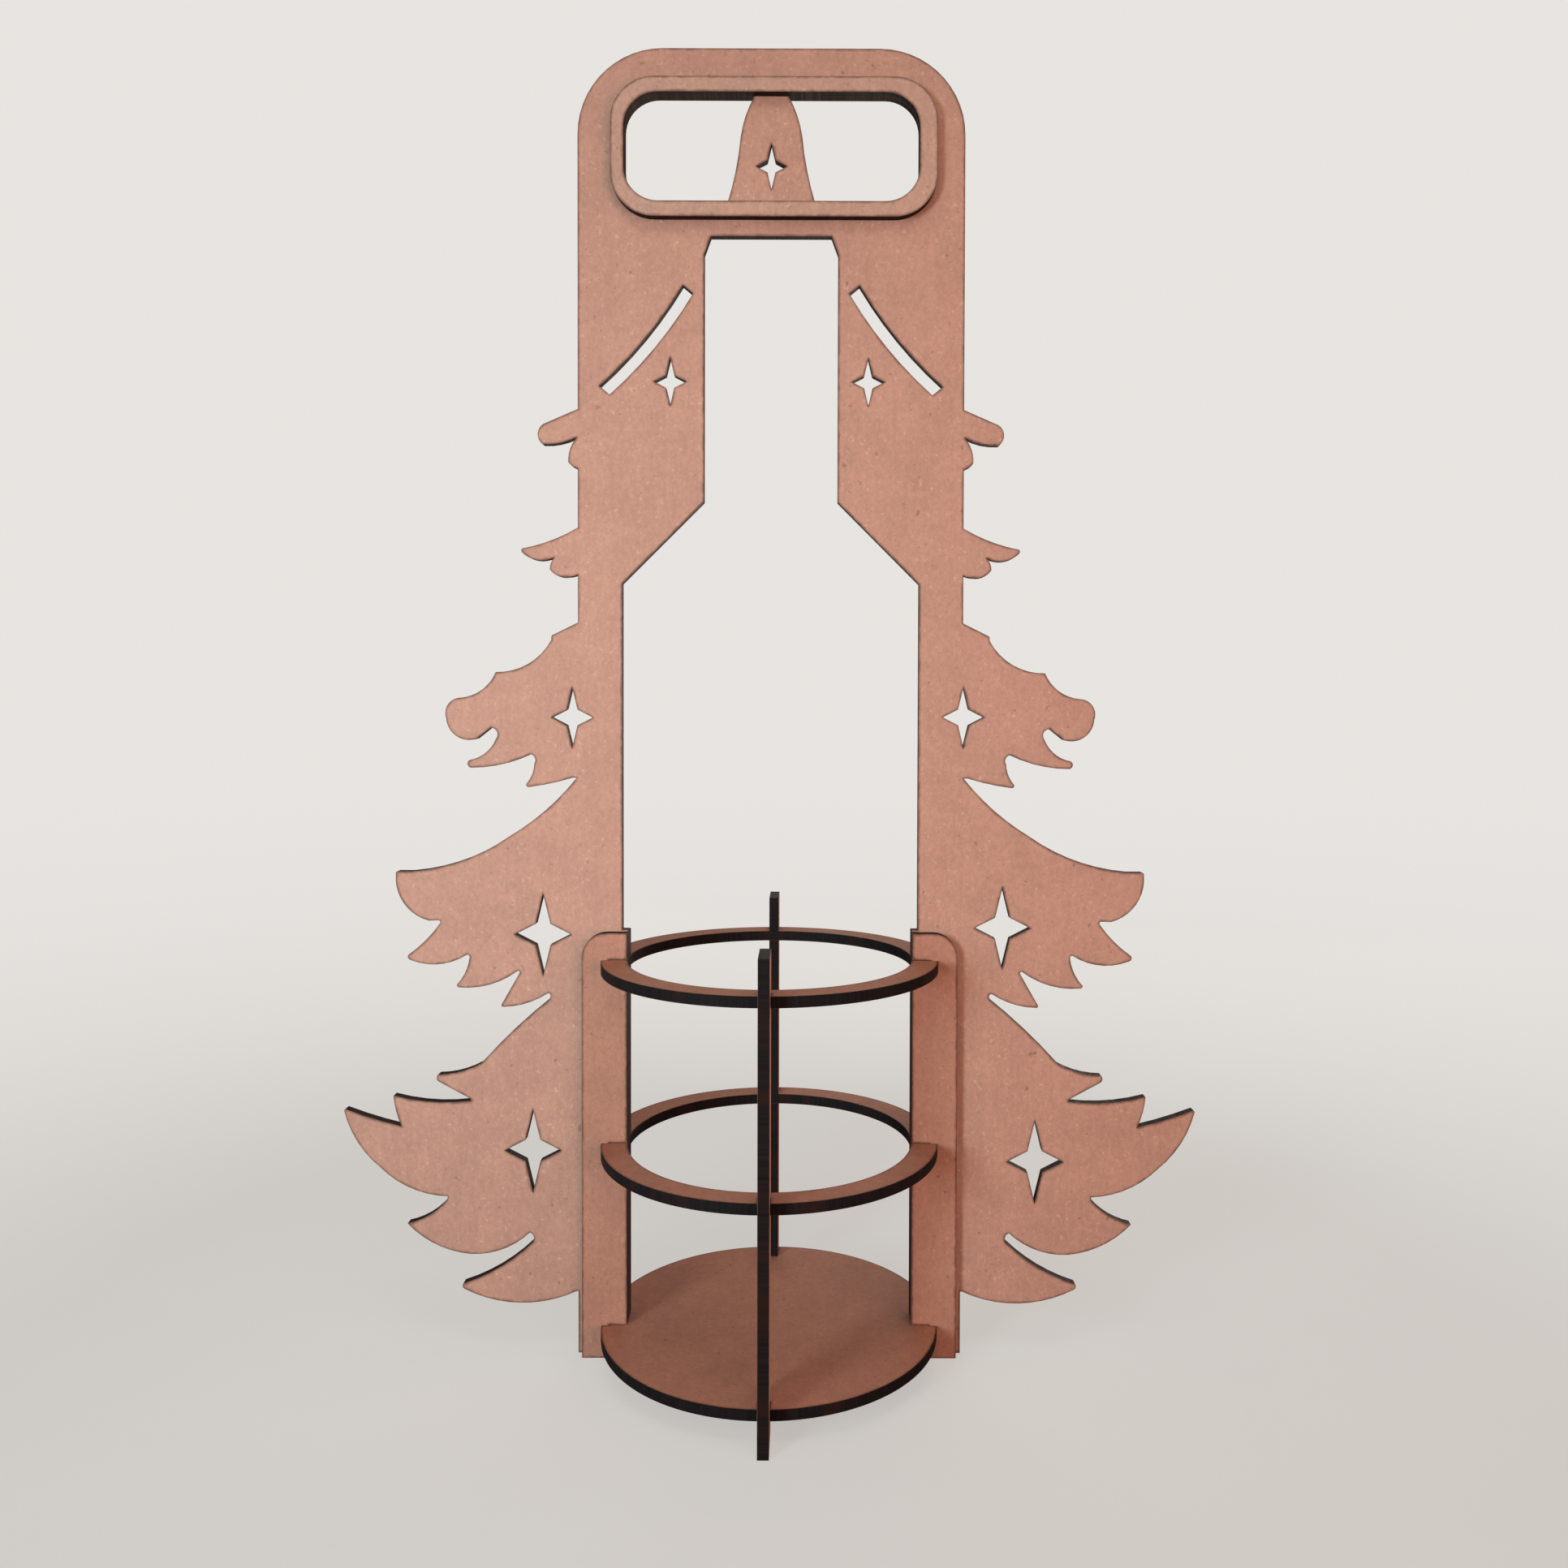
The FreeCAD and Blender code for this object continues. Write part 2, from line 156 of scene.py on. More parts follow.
def set_back(cut, reach):
    """The cut's points moved into the board by reach; the board is on the left of each edge."""
    runs = np.roll(cut, -1, axis=0) - cut
    lefts = np.stack([-runs[:, 1], runs[:, 0]], axis=1) / np.hypot(runs[:, 0], runs[:, 1])[:, None]
    inward = lefts + np.roll(lefts, 1, axis=0)
    return cut + reach * inward / np.hypot(inward[:, 0], inward[:, 1])[:, None]


def clear_of_cuts(points, node, least):
    """The points that are further than least from every cut of a board."""
    nearest = np.full(len(points), np.inf)
    for outline in outlines[node]:
        for start, end in zip(outline, np.roll(outline, -1, axis=0)):
            run = end - start
            share = np.clip((points - start) @ run / (run @ run), 0, 1)
            away = points - start - share[:, None] * run
            nearest = np.minimum(nearest, np.hypot(away[:, 0], away[:, 1]))
    return points[nearest > least]


def rows_of(node):
    """The points of a board's rows, cut by cut."""
    steps = [(cut, reach) for cut in cuts[node] for reach in SET_BACKS]
    return np.vstack([clear_of_cuts(set_back(cut, reach), node, reach * CLOSEST) for cut, reach in steps])


rows = {node: rows_of(node) for node in outlines}
for node, points in rows.items():
    print(node, "has", len(points), "points in its rows")

# %% Fill the middle with a grid
# Lengths in mm: the grid's step, its least distance from a cut, and the least distance between points
GRID_STEP = 7.0
GRID_CLEAR = 3.5
APART = 0.25


def grid_of(node):
    """The points of a coarse grid over a board's box, some of them in holes."""
    corners = np.vstack(outlines[node])
    spans = zip(corners.min(axis=0), corners.max(axis=0))
    across, along = np.meshgrid(*(np.arange(low + GRID_STEP, high, GRID_STEP) for low, high in spans))
    return clear_of_cuts(np.stack([across.ravel(), along.ravel()], axis=1), node, GRID_CLEAR)


def spaced(points):
    """The points without those that crowd an earlier one, as the rows do inside a tight arc."""
    places = KDTree(len(points))
    for number, point in enumerate(points):
        places.insert((*point, 0), number)
    places.balance()
    kept = np.ones(len(points), bool)
    for number, point in enumerate(points):
        if kept[number]:
            for _, other, _ in places.find_range((*point, 0), APART):
                kept[other] &= other <= number
    return points[kept]


fillings = {node: spaced(np.vstack([rows[node], grid_of(node)])) for node in outlines}
for node, points in fillings.items():
    print(node, "has", len(points), "points in its rows and grid, well spaced")

# %% [markdown]
# A constrained Delaunay triangulation joins all the points inside the rim and keeps every outline as it is.
# The triangles that fill a hole are then left out, with the points that no other triangle uses. To fill the
# hull instead would leave flat slivers at the rim, and the bevel that comes later would shrink to nothing.

# %% Join the points into sheets
# The triangulation's number for the output that stays inside the rim
INSIDE_RIM = 1
# Points closer than this, in mm, are joined
JOIN_WITHIN = 1e-5


def on_board(points, node):
    """Which points lie on a board: a line from there crosses the outlines an odd number of times."""
    crossings = np.zeros(len(points), int)
    for outline in outlines[node]:
        for (x, y), (next_x, next_y) in zip(outline, np.roll(outline, -1, axis=0)):
            if y != next_y:
                level = (y > points[:, 1]) != (next_y > points[:, 1])
                crossings += level & (points[:, 0] < x + (points[:, 1] - y) * (next_x - x) / (next_y - y))
    return crossings % 2 == 1


def joined(node):
    """The flat points of a board's sheet, and its triangles."""
    edges = []
    for cut in cuts[node]:
        numbers = range(len(edges), len(edges) + len(cut))
        edges.extend(zip(numbers, [*numbers[1:], numbers[0]]))
    points = [Vector(point) for point in np.vstack([*cuts[node], fillings[node]])]
    made = delaunay_2d_cdt(points, edges, [], INSIDE_RIM, JOIN_WITHIN)
    places = np.array([tuple(point) for point in made[0]])
    triangles = np.array(made[2])
    triangles = triangles[on_board(places[triangles].mean(axis=1), node)]
    used, corners = np.unique(triangles, return_inverse=True)
    return places[used], corners.reshape(-1, 3)


def sheet_of(node):
    """A flat mesh of the board's outline, on the board's low side, facing its high side."""
    flat_places, triangles = joined(node)
    thin = thin_axis(node)
    places = np.zeros((len(flat_places), 3))
    places[:, flat_axes(thin)] = flat_places * MM
    places[:, thin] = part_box(node)[0][thin]
    sheet = bpy.data.meshes.new(f"{node}_sheet")
    sheet.from_pydata(places.tolist(), [], triangles.tolist())
    return sheet


sheets = {node: sheet_of(node) for node in outlines}
for node, sheet in sheets.items():
    area = sum(face.area for face in sheet.polygons) / MM**2
    print(node, "sheet:", len(sheet.polygons), "triangles,", round(area), "square mm")

# %% [markdown]
# ## One rule for every board
#
# Every board is made by the same rule: take a flat outline, push it through the thickness of the board,
# scorch what the laser touched. A rule like that is one node tree used eleven times. The tree measures how
# far each point is from the nearest cut, keeps that as an attribute for the smoke line and its painted
# shade, pushes the sheet through, closes it with its own turned copy, and gives the face and the cut edge
# their finishes.

# %% Start the rule and measure from the cuts
INPUTS = {"Sheet": "Geometry", "Push": "Vector", "Face Finish": "Material", "Edge Finish": "Material"}
CUT_DISTANCE_ATTRIBUTE = "from_cut"
# An edge on a cut has one face beside it, and an edge inside the sheet has two
FACES_AT_CUT = 1
# The inputs of a node that compares whole numbers
FIRST_WHOLE, SECOND_WHOLE = 2, 3


def new_node(tree, kind, **settings):
    """A node with its settings and unlinked inputs filled in."""
    node = tree.nodes.new(kind)
    for name, value in settings.items():
        if name in node.inputs:
            node.inputs[name].default_value = value
        else:
            setattr(node, name, value)
    return node


rule = bpy.data.node_groups.new("laser_cut_board", "GeometryNodeTree")
for name, kind in INPUTS.items():
    rule.interface.new_socket(name, in_out="INPUT", socket_type=f"NodeSocket{kind}")
sockets = {item.name: item.identifier for item in rule.interface.items_tree}
rule.interface.new_socket("Board", in_out="OUTPUT", socket_type="NodeSocketGeometry")
link = rule.links.new
given = new_node(rule, "NodeGroupInput")

beside = new_node(rule, "GeometryNodeInputMeshEdgeNeighbors")
on_cut = new_node(rule, "FunctionNodeCompare", data_type="INT", operation="EQUAL")
on_cut.inputs[SECOND_WHOLE].default_value = FACES_AT_CUT
link(beside.outputs["Face Count"], on_cut.inputs[FIRST_WHOLE])
cut_lines = new_node(rule, "GeometryNodeSeparateGeometry", domain="EDGE")
link(given.outputs["Sheet"], cut_lines.inputs["Geometry"])
link(on_cut.outputs["Result"], cut_lines.inputs["Selection"])
nearest_cut = new_node(rule, "GeometryNodeProximity", target_element="EDGES")
link(cut_lines.outputs["Selection"], nearest_cut.inputs["Geometry"])
in_mm = new_node(rule, "ShaderNodeMath", operation="DIVIDE")
in_mm.inputs[1].default_value = MM
link(nearest_cut.outputs["Distance"], in_mm.inputs[0])
measured = new_node(rule, "GeometryNodeStoreNamedAttribute", data_type="FLOAT", domain="POINT")
measured.inputs["Name"].default_value = CUT_DISTANCE_ATTRIBUTE
link(given.outputs["Sheet"], measured.inputs["Geometry"])
link(in_mm.outputs["Value"], measured.inputs["Value"])
print("board rule:", len(rule.nodes), "nodes so far, inputs", list(sockets))

# %% Push the sheet through and give it its finishes
pushed = new_node(rule, "GeometryNodeExtrudeMesh", mode="FACES", Individual=False)
pushed.inputs["Offset Scale"].default_value = 1.0
link(measured.outputs["Geometry"], pushed.inputs["Mesh"])
link(given.outputs["Push"], pushed.inputs["Offset"])
turned = new_node(rule, "GeometryNodeFlipFaces")
link(measured.outputs["Geometry"], turned.inputs["Mesh"])
both_sides = new_node(rule, "GeometryNodeJoinGeometry")
link(turned.outputs["Mesh"], both_sides.inputs["Geometry"])
link(pushed.outputs["Mesh"], both_sides.inputs["Geometry"])
welded = new_node(rule, "GeometryNodeMergeByDistance", Distance=SAME_POINT)
link(both_sides.outputs["Geometry"], welded.inputs["Geometry"])

real = new_node(rule, "GeometryNodeRealizeInstances")
link(welded.outputs["Geometry"], real.inputs["Geometry"])
faced = new_node(rule, "GeometryNodeSetMaterial")
link(real.outputs["Geometry"], faced.inputs["Geometry"])
link(given.outputs["Face Finish"], faced.inputs["Material"])
edged = new_node(rule, "GeometryNodeSetMaterial")
link(faced.outputs["Geometry"], edged.inputs["Geometry"])
link(pushed.outputs["Side"], edged.inputs["Selection"])
link(given.outputs["Edge Finish"], edged.inputs["Material"])
result = new_node(rule, "NodeGroupOutput")
link(edged.outputs["Geometry"], result.inputs["Board"])
print("board rule:", len(rule.nodes), "nodes")

# %% [markdown]
# ## The face of the board
#
# Fibreboard is pressed from wood dust and short fibres. Close to, its face is a brown-pink ground with soft
# blotches, faint streaks, pale fibres and a few dark specks. A photograph of board would tile and blur, so
# each of these is its own noise, at its real size in millimetres, read from the object's own coordinates.
# The smoke line darkens the ground by the distance that the rule measured. It is partly real smoke stain
# and partly painted shade along the cut.

# %% Make small tools for a finish
NOISE_ROUGHNESS = 0.55
# The inputs of a node that mixes colours, and its output
SHARE, UNDER, OVER = 0, 6, 7
MIXED = 2


def new_finish(name):
    """An empty material with its tree, its shader and its own coordinates."""
    finish = bpy.data.materials.new(name)
    finish.use_nodes = True
    tree = finish.node_tree
    shader = tree.nodes["Principled BSDF"]
    place = new_node(tree, "ShaderNodeTexCoord").outputs["Object"]
    return finish, tree, shader, place


def noise(tree, place, size_mm, detail, squeeze=(1, 1, 1)):
    """A noise whose blotches are about size_mm across, drawn out along an axis with a small squeeze."""
    squeezed = new_node(tree, "ShaderNodeMapping", vector_type="POINT", Scale=squeeze)
    tree.links.new(place, squeezed.inputs["Vector"])
    scale = 1 / (size_mm * MM)
    made = new_node(tree, "ShaderNodeTexNoise", Scale=scale, Detail=detail, Roughness=NOISE_ROUGHNESS)
    tree.links.new(squeezed.outputs["Vector"], made.inputs["Vector"])
    return made.outputs["Fac"]


def streaked(axis, squeeze):
    """The squeeze of a noise that is drawn out along one axis."""
    return [squeeze if number == axis else 1 for number in range(3)]


def remap(tree, value, levels, results=(0.0, 1.0)):
    """The value's range between two levels, stretched to two results and held at its ends."""
    made = new_node(tree, "ShaderNodeMapRange", interpolation_type="SMOOTHSTEP")
    for name, number in zip(("From Min", "From Max", "To Min", "To Max"), (*levels, *results)):
        made.inputs[name].default_value = number
    tree.links.new(value, made.inputs["Value"])
    return made.outputs["Result"]


def give(tree, source, socket):
    """Feed a socket from an output, or set it to a fixed value."""
    if isinstance(source, bpy.types.NodeSocket):
        tree.links.new(source, socket)
    else:
        socket.default_value = source


def blend(tree, share, under, over, mode="MIX"):
    """Two colours mixed by share; each of the three is a fixed value or an output."""
    made = new_node(tree, "ShaderNodeMix", data_type="RGBA", blend_type=mode, clamp_factor=True)
    for socket, source in ((SHARE, share), (UNDER, under), (OVER, over)):
        give(tree, source, made.inputs[socket])
    return made.outputs[MIXED]


def combine(tree, operation, first, second):
    """Two values joined by a math operation; each is a fixed value or an output."""
    made = new_node(tree, "ShaderNodeMath", operation=operation)
    give(tree, first, made.inputs[0])
    give(tree, second, made.inputs[1])
    return made.outputs["Value"]


def add_bump(tree, shader, height, depth_mm, strength):
    """Raise the surface by height."""
    bump = new_node(tree, "ShaderNodeBump", Strength=strength, Distance=depth_mm * MM)
    tree.links.new(height, bump.inputs["Height"])
    tree.links.new(bump.outputs["Normal"], shader.inputs["Normal"])


slots = {part["node"]: part["material_slot"] for part in frame["record"]["subparts"]}
print("slots to finish:", sorted(set(slots.values())))

# %% [markdown]
# All the boards have one thickness and one texture, and each slot of the record gets its own face colour:
# the panel and the handle are the palest, and the cheeks, uprights and shelves are set redder and darker.
# The shelves' darker tone is painted shade for their upward faces. The faint streaks run up and down the
# standing boards, and front to back on the shelves.

# %% Mix the face finishes
# Axis numbers
Y, Z = 1, 2
# How many finer layers a noise has
PLAIN_DETAIL, FINE_DETAIL = 2, 3
# The levels that most of a noise lies between
MID_LEVELS = (0.3, 0.7)
# Blotches: size in mm, and the noise levels where one colour gives way to the other
BLOTCH_SIZE = 16
BLOTCH_LEVELS = (0.36, 0.64)
# Shading noises: size in mm, how far they lighten and darken, and their squeeze along the streaks
SHADES = ((5.0, 0.03, 1.0), (1.6, 0.06, 0.8), (2.0, 0.02, 0.06), (0.5, 0.06, 0.6))
SHADE_LEVELS = (0.28, 0.72)
# What a dark or a pale fibre does to the ground under it
DARK_FIBRE = (0.27, 0.19, 0.18, 1)
PALE_FIBRE = (1.38, 1.72, 1.82, 1)
# Flecks: size in mm, the noise levels where they start and are full, their strength and their tint
FLECKS = (
    (2.2, (0.69, 0.77), 0.44, DARK_FIBRE),
    (1.2, (0.66, 0.77), 0.40, DARK_FIBRE),
    (1.4, (0.63, 0.74), 0.42, PALE_FIBRE),
)
# Smoke line, partly smoke stain and partly painted shade: colour, width in mm, how fast it fades, and
# strength
SMOKE_AND_SHADE_COLOUR = (0.085, 0.030, 0.018, 1)
SMOKE_AND_SHADE_REACH = 1.1
SMOKE_AND_SHADE_FALL = 1.3
SMOKE_AND_SHADE_STRENGTH = 0.75
# How the smoke line and its painted shade wander, in mm: the size of its noise, and how far that moves it
WANDER_SIZE = 3
WANDER = (-0.1, 0.2)
FACE_ROUGHNESS = (0.66, 0.82)
FACE_GLOSS = 0.3
# Depth in mm, and strength
FACE_BUMP = (0.05, 0.3)
# Ground and blotch colours, and the axis of the streaks
FACES = {
    "panel_board": ((0.555, 0.308, 0.234, 1), (0.592, 0.328, 0.249, 1), Z),
    "handle_board": ((0.550, 0.338, 0.262, 1), (0.590, 0.360, 0.280, 1), Z),
    "cheek_board": ((0.480, 0.235, 0.165, 1), (0.530, 0.260, 0.185, 1), Z),
    "upright_board": ((0.480, 0.240, 0.170, 1), (0.530, 0.260, 0.190, 1), Z),
    # The shelf ground is set darker as painted shade for the shelves' upward faces
    "shelf_board": ((0.405, 0.166, 0.102, 1), (0.450, 0.184, 0.114, 1), Y),
}


def face_finish(name, ground, blotch, streaks):
    """Fibreboard face: ground and blotch colours, streaked along one axis."""
    finish, tree, shader, place = new_finish(name)
    blotches = remap(tree, noise(tree, place, BLOTCH_SIZE, FINE_DETAIL), BLOTCH_LEVELS)
    colour = blend(tree, blotches, ground, blotch)
    for size, swing, squeeze in SHADES:
        grain = noise(tree, place, size, FINE_DETAIL, streaked(streaks, squeeze))
        shade = remap(tree, grain, SHADE_LEVELS, (1 - swing, 1 + swing))
        colour = blend(tree, 1.0, colour, shade, "MULTIPLY")
    for seed, (size, levels, strength, tint) in enumerate(FLECKS):
        moved = new_node(tree, "ShaderNodeMapping", Location=(seed, seed, seed))
        tree.links.new(place, moved.inputs["Vector"])
        specks = noise(tree, moved.outputs["Vector"], size, PLAIN_DETAIL)
        colour = blend(tree, remap(tree, specks, levels, (0.0, strength)), colour, tint, "MULTIPLY")
    from_cut = new_node(tree, "ShaderNodeAttribute", attribute_name=CUT_DISTANCE_ATTRIBUTE).outputs["Fac"]
    wander = remap(tree, noise(tree, place, WANDER_SIZE, PLAIN_DETAIL), MID_LEVELS, WANDER)
    # The smoke line is partly smoke stain and partly painted shade along the cut
    smoke_and_shade = remap(tree, combine(tree, "ADD", from_cut, wander), (0.0, SMOKE_AND_SHADE_REACH), (1.0, 0.0))
    smoke_and_shade = combine(tree, "MULTIPLY", combine(tree, "POWER", smoke_and_shade, SMOKE_AND_SHADE_FALL), SMOKE_AND_SHADE_STRENGTH)
    tree.links.new(blend(tree, smoke_and_shade, colour, SMOKE_AND_SHADE_COLOUR), shader.inputs["Base Color"])
    tree.links.new(remap(tree, grain, MID_LEVELS, FACE_ROUGHNESS), shader.inputs["Roughness"])
    shader.inputs["Specular IOR Level"].default_value = FACE_GLOSS
    add_bump(tree, shader, grain, *FACE_BUMP)
    return finish


face_finishes = {slot: face_finish(f"{slot}_face", *look) for slot, look in FACES.items()}
for slot, finish in face_finishes.items():
    print(slot, "face:", len(finish.node_tree.nodes), "nodes")

# %% [markdown]
# ## The scorched edge
#
# The laser burns its way through and leaves a cut edge of black char with fine lines straight through the
# thickness. The lines come from a fine noise that is held still along the board's thin axis, so it can only
# change along the cut. A second, broad noise lets the char fade to dark brown in places, and each slot says
# how brown its char is at the least: the panel, the handle and the cheeks look browner than the shelves.

# %% Mix the edge finishes
CHAR = (0.005, 0.004, 0.005, 1)
# The pale char's slight cool tint is a painted reflection of cool light on the burnt edge
PALE_CHAR_AND_SHEEN = (0.016, 0.013, 0.015, 1)
CHAR_BROWN = (0.026, 0.010, 0.007, 1)
# Lines: size in mm, the noise levels that they span, and a squeeze that holds them still
LINE_SIZE = 0.45
LINE_LEVELS = (0.35, 0.7)
HELD_STILL = 0.0
# Brown patches: size in mm, the noise levels that they span, their squeeze, and how brown they get
BROWN_SIZE = 9
BROWN_LEVELS = (0.48, 0.75)
BROWN_SQUEEZE = 0.3
MOST_BROWN = 0.9
LEAST_BROWN = {
    "panel_board": 0.7,
    "handle_board": 0.5,
    "cheek_board": 0.7,
    "upright_board": 0.1,
    "shelf_board": 0.0,
}
EDGE_ROUGHNESS = (0.62, 0.85)
EDGE_GLOSS = 0.15
# Depth in mm, and strength
EDGE_BUMP = (0.06, 0.3)


def edge_finish(name, thin, least_brown):
    """Charred cut edge with lines along the board's thin axis, at least as brown as least_brown says."""
    finish, tree, shader, place = new_finish(name)
    lines = noise(tree, place, LINE_SIZE, PLAIN_DETAIL, streaked(thin, HELD_STILL))
    # The pale char lines carry a painted cool reflection as well as the char's own colour
    colour = blend(tree, remap(tree, lines, LINE_LEVELS), CHAR, PALE_CHAR_AND_SHEEN)
    patches = noise(tree, place, BROWN_SIZE, PLAIN_DETAIL, streaked(thin, BROWN_SQUEEZE))
    brown = remap(tree, patches, BROWN_LEVELS, (least_brown, MOST_BROWN))
    tree.links.new(blend(tree, brown, colour, CHAR_BROWN), shader.inputs["Base Color"])
    tree.links.new(remap(tree, lines, MID_LEVELS, EDGE_ROUGHNESS), shader.inputs["Roughness"])
    shader.inputs["Specular IOR Level"].default_value = EDGE_GLOSS
    add_bump(tree, shader, lines, *EDGE_BUMP)
    return finish


thin_by_slot = {slot: thin_axis(node) for node, slot in slots.items()}
edge_finishes = {
    slot: edge_finish(f"{slot}_edge", thin_by_slot[slot], least) for slot, least in LEAST_BROWN.items()
}
for slot, finish in edge_finishes.items():
    print(slot, "edge:", len(finish.node_tree.nodes), "nodes")

# %% [markdown]
# ## Cutting the boards
#
# Each sheet goes through the rule, then a bevel of a tenth of a millimetre takes the knife edge off. The
# result is made a plain mesh, rides on the one body, and stands for its solid. Edges that turn sharply are
# marked so, and all others shade as one curve.

# %% Cut every board
# The bevel's width in mm, and the turns above which an edge is bevelled and marked sharp
BEVEL = 0.1
BEVEL_ANGLE = math.radians(50)
CREASE = math.radians(30)


def cut_board(node):
    """The finished board that stands for a solid."""
    thin = thin_axis(node)
    low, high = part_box(node)
    draft = bpy.data.objects.new(f"{node}_draft", sheets[node])
    scene.collection.objects.link(draft)
    cutter = draft.modifiers.new("laser", "NODES")
    cutter.node_group = rule
    cutter[sockets["Push"]] = [high[axis] - low[axis] if axis == thin else 0.0 for axis in range(3)]
    cutter[sockets["Face Finish"]] = face_finishes[slots[node]]
    cutter[sockets["Edge Finish"]] = edge_finishes[slots[node]]
    bevel = draft.modifiers.new("burnt_off", "BEVEL")
    bevel.width = BEVEL * MM
    bevel.segments = 1
    bevel.limit_method = "ANGLE"
    bevel.angle_limit = BEVEL_ANGLE
    graph = bpy.context.evaluated_depsgraph_get()
    mesh = bpy.data.meshes.new_from_object(draft.evaluated_get(graph), depsgraph=graph)
    bpy.data.objects.remove(draft)
    mesh.polygons.foreach_set("use_smooth", [True] * len(mesh.polygons))
    mesh.set_sharp_from_angle(angle=CREASE)
    board = bpy.data.objects.new(f"{node}_board", mesh)
    scene.collection.objects.link(board)
    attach(board, "root")
    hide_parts(node)
    return board


for node in sheets:
    board = cut_board(node)
    board.data.calc_loop_triangles()
    print(board.name, len(board.data.loop_triangles), "triangles,", len(board.data.materials), "finishes")

# %% [markdown]
# ## Floor, light and camera
#
# The carrier stands on a plain pale floor. The camera sees the floor pale, but the light that the floor
# sends back up is brown, as from wood. Far from the object the floor fades into the world, so that there
# is no horizon.

# %% Lay the floor
# How the camera sees the world, and the floor far away
PALE = (0.80, 0.78, 0.75, 1)
PALE_STRENGTH = 1.0
# Radius in metres
FLOOR_REACH = 6.0
FLOOR_SIDES = 96
# Size in mm of the floor's blotches, and their two colours
FLOOR_BLOTCH = 60
FLOOR_SHADES = ((0.66, 0.645, 0.62, 1), (0.72, 0.70, 0.68, 1))
FLOOR_ROUGHNESS = 0.9
BOUNCE = (0.30, 0.17, 0.11, 1)
# One over the distance in metres, far off and close by, and how far the floor has faded there
NEARNESS = (0.3, 4.5)
FADED = (1.0, 0.6)


def floor_finish():
    """Pale floor that keeps the shadow and fades into the world far away."""
    finish, tree, shader, place = new_finish("pale_floor")
    seen = new_node(tree, "ShaderNodeLightPath").outputs["Is Camera Ray"]
    pale = blend(tree, noise(tree, place, FLOOR_BLOTCH, PLAIN_DETAIL), *FLOOR_SHADES)
    tree.links.new(blend(tree, seen, BOUNCE, pale), shader.inputs["Base Color"])
    shader.inputs["Roughness"].default_value = FLOOR_ROUGHNESS
    glow = new_node(tree, "ShaderNodeEmission", Color=PALE, Strength=PALE_STRENGTH)
    distance = new_node(tree, "ShaderNodeVectorMath", operation="LENGTH")
    tree.links.new(place, distance.inputs[0])
    faded = remap(tree, combine(tree, "POWER", distance.outputs["Value"], -1.0), NEARNESS, FADED)
    mixed = new_node(tree, "ShaderNodeMixShader")
    tree.links.new(combine(tree, "MULTIPLY", faded, seen), mixed.inputs["Fac"])
    tree.links.new(shader.outputs["BSDF"], mixed.inputs[1])
    tree.links.new(glow.outputs["Emission"], mixed.inputs[2])
    tree.links.new(mixed.outputs["Shader"], tree.nodes["Material Output"].inputs["Surface"])
    return finish


disc = bmesh.new()
bmesh.ops.create_circle(disc, cap_ends=True, segments=FLOOR_SIDES, radius=FLOOR_REACH)
floor_mesh = bpy.data.meshes.new("floor")
disc.to_mesh(floor_mesh)
disc.free()
floor_mesh.materials.append(floor_finish())
floor = bpy.data.objects.new("floor", floor_mesh)
scene.collection.objects.link(floor)
print("floor radius in m:", FLOOR_REACH)

# %% [markdown]
# A tall soft lamp at the front left lights the faces and drops a narrow shadow to the right of each
# glued-on board. A warm lamp fills from the right, a weak one overhead leaves the undersides dark, a wide
# one behind lights the back, and the world fills the rest.

# %% Set the world
AMBIENT = 0.21
AMBIENT_COLOUR = (1.0, 0.86, 0.78, 1)

world = bpy.data.worlds.new("pale_room")
world.use_nodes = True
scene.world = world
room = world.node_tree
lit = room.nodes["Background"]
lit.inputs["Color"].default_value = AMBIENT_COLOUR
lit.inputs["Strength"].default_value = AMBIENT
shown = new_node(room, "ShaderNodeBackground", Color=PALE, Strength=PALE_STRENGTH)
either = new_node(room, "ShaderNodeMixShader")
room.links.new(new_node(room, "ShaderNodeLightPath").outputs["Is Camera Ray"], either.inputs["Fac"])
room.links.new(lit.outputs["Background"], either.inputs[1])
room.links.new(shown.outputs["Background"], either.inputs[2])
room.links.new(either.outputs["Shader"], room.nodes["World Output"].inputs["Surface"])
print("world strength:", AMBIENT)

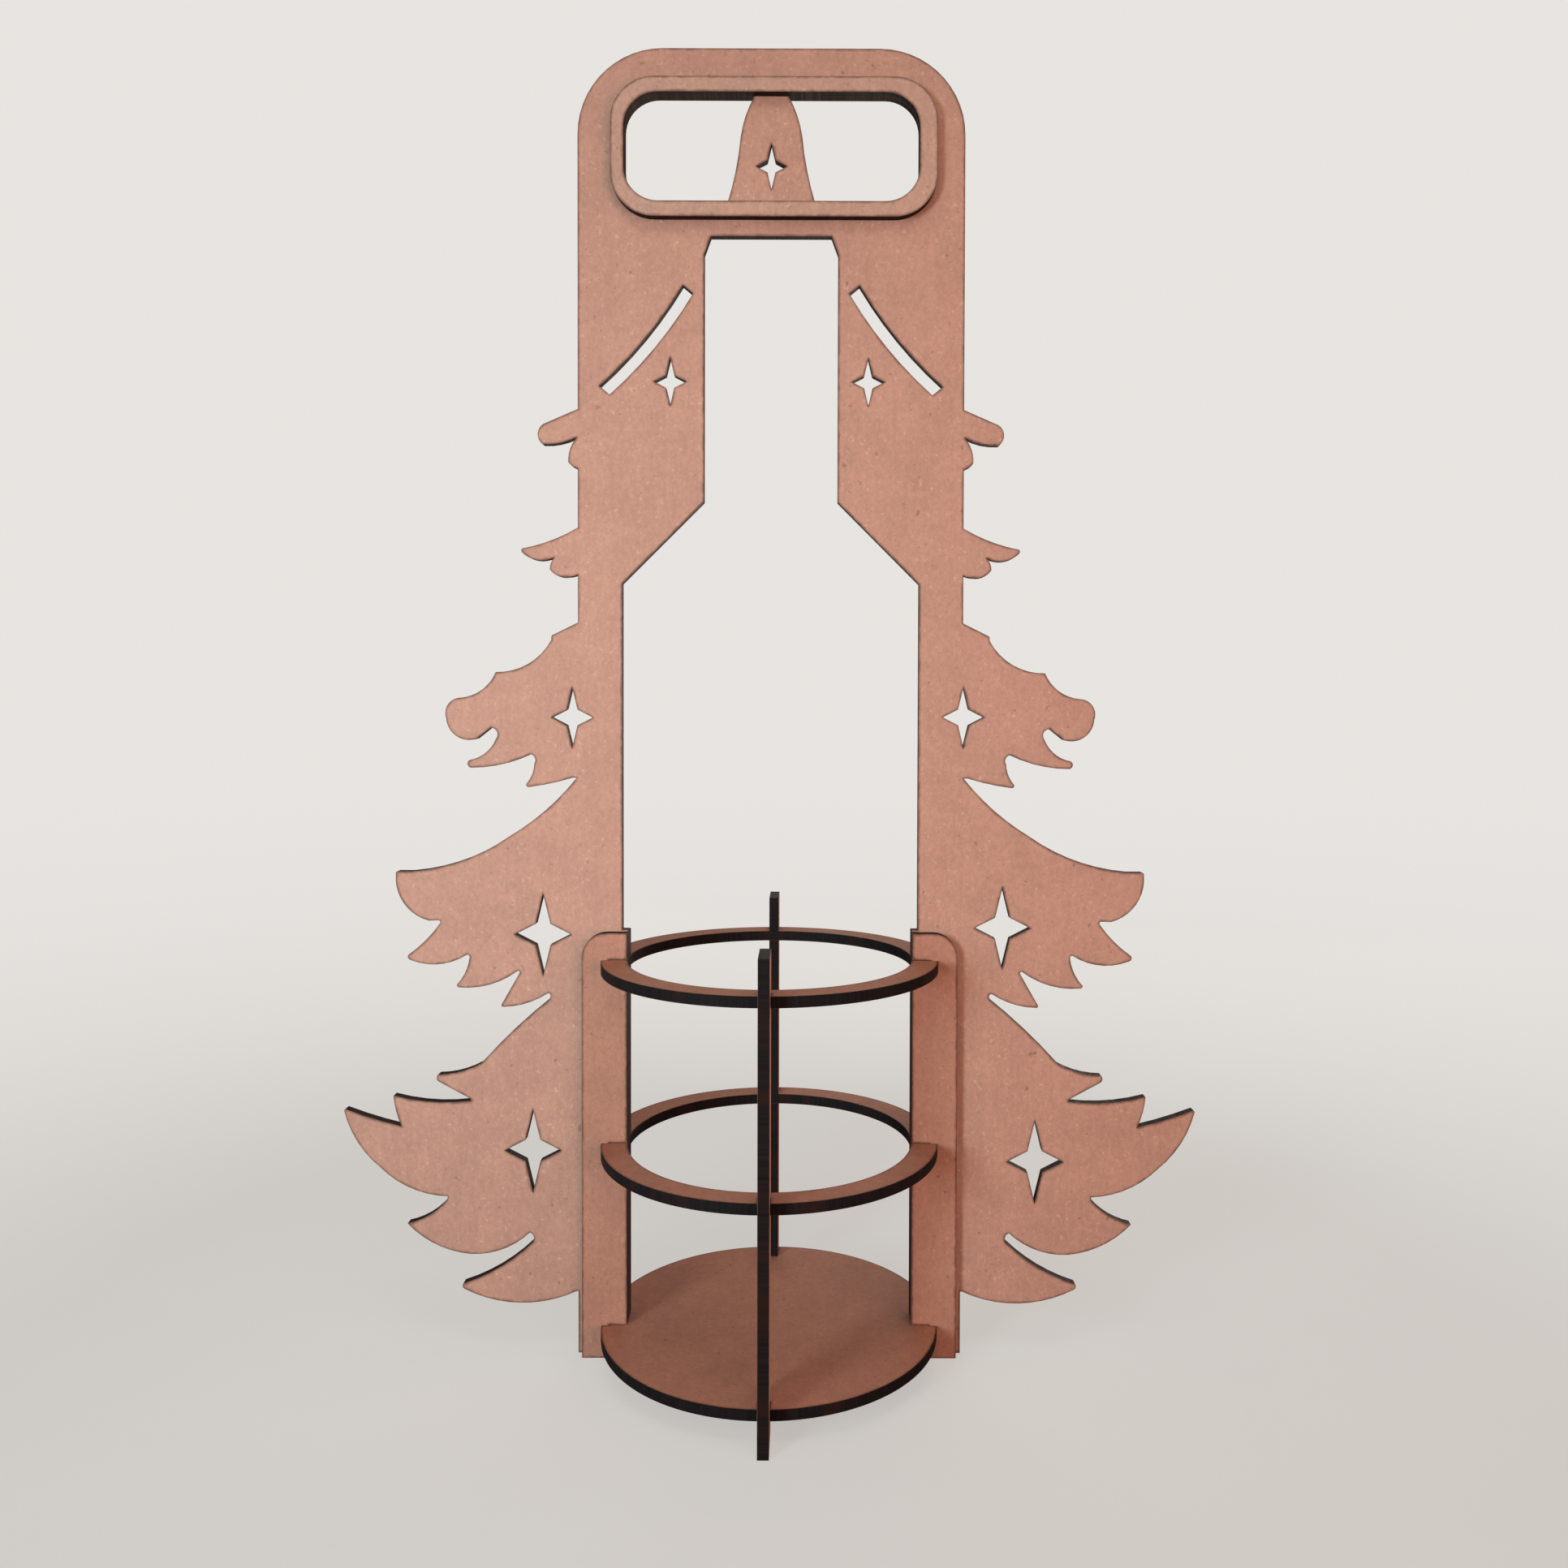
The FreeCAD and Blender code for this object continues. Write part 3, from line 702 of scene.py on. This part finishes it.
# %% Hang the lamps
# Place, target, width and height in metres, spread in degrees, power in watts, and colour
LAMPS = {
    "front_left": ((-0.42, -0.58, 0.25), (-0.06, 0.0, 0.17), 0.18, 0.36, 60, 0.50, (0.78, 0.96, 1.0)),
    "front_right": ((0.42, -0.46, 0.22), (0.06, 0.0, 0.22), 0.64, 0.50, 110, 0.82, (1.0, 0.53, 0.40)),
    "overhead": ((0.0, -0.35, 0.80), (0.0, 0.0, 0.30), 0.50, 0.30, 100, 0.34, (0.97, 1.0, 0.90)),
    "rear": ((0.20, 0.80, 0.19), (0.0, 0.0, 0.20), 0.90, 0.30, 120, 1.5, (1.0, 0.92, 0.84)),
}
for name, (place, target, width, height, spread, power, colour) in LAMPS.items():
    lamp = bpy.data.lights.new(name, "AREA")
    lamp.shape = "RECTANGLE"
    lamp.size = width
    lamp.size_y = height
    lamp.spread = math.radians(spread)
    lamp.energy = power
    lamp.color = colour
    holder = bpy.data.objects.new(name, lamp)
    holder.location = place
    holder.rotation_euler = (Vector(target) - Vector(place)).to_track_quat("-Z", "Y").to_euler()
    scene.collection.objects.link(holder)
    print("lamp", name, power, "W")

# %% [markdown]
# The camera stands close and level with the middle of the carrier, so the base shows its top, and the hand
# hole its upper edge from below. The lens axis misses the middle of the picture, so the lens is shifted.

# %% Place the camera
# In pixels: the picture's side, the focal length, and where the lens axis meets the picture
PICTURE = 1932
FOCAL = 1596.89
MIDDLE = (999.78, 882.03)
# In metres: where the camera stands, and the nearest that it sees
EYE = (0.011736, -0.39898, 0.204865)
NEAREST_SEEN = 0.01
# In radians
PITCH, YAW, ROLL = 0.0191, -0.0021, 0.0025
# In millimetres
SENSOR = 36.0

lens = bpy.data.cameras.new("camera")
lens.sensor_width = SENSOR
lens.lens = SENSOR * FOCAL / PICTURE
lens.shift_x = 0.5 - MIDDLE[0] / PICTURE
lens.shift_y = MIDDLE[1] / PICTURE - 0.5
lens.clip_start = NEAREST_SEEN
camera = bpy.data.objects.new("camera", lens)
level = Matrix.Rotation(YAW, 4, "Z") @ Matrix.Rotation(math.pi / 2 - PITCH, 4, "X")
camera.matrix_world = Matrix.Translation(EYE) @ level @ Matrix.Rotation(ROLL, 4, "Z")
scene.collection.objects.link(camera)
scene.camera = camera
scene.view_settings.view_transform = "Standard"
print("lens in mm:", round(lens.lens, 2))
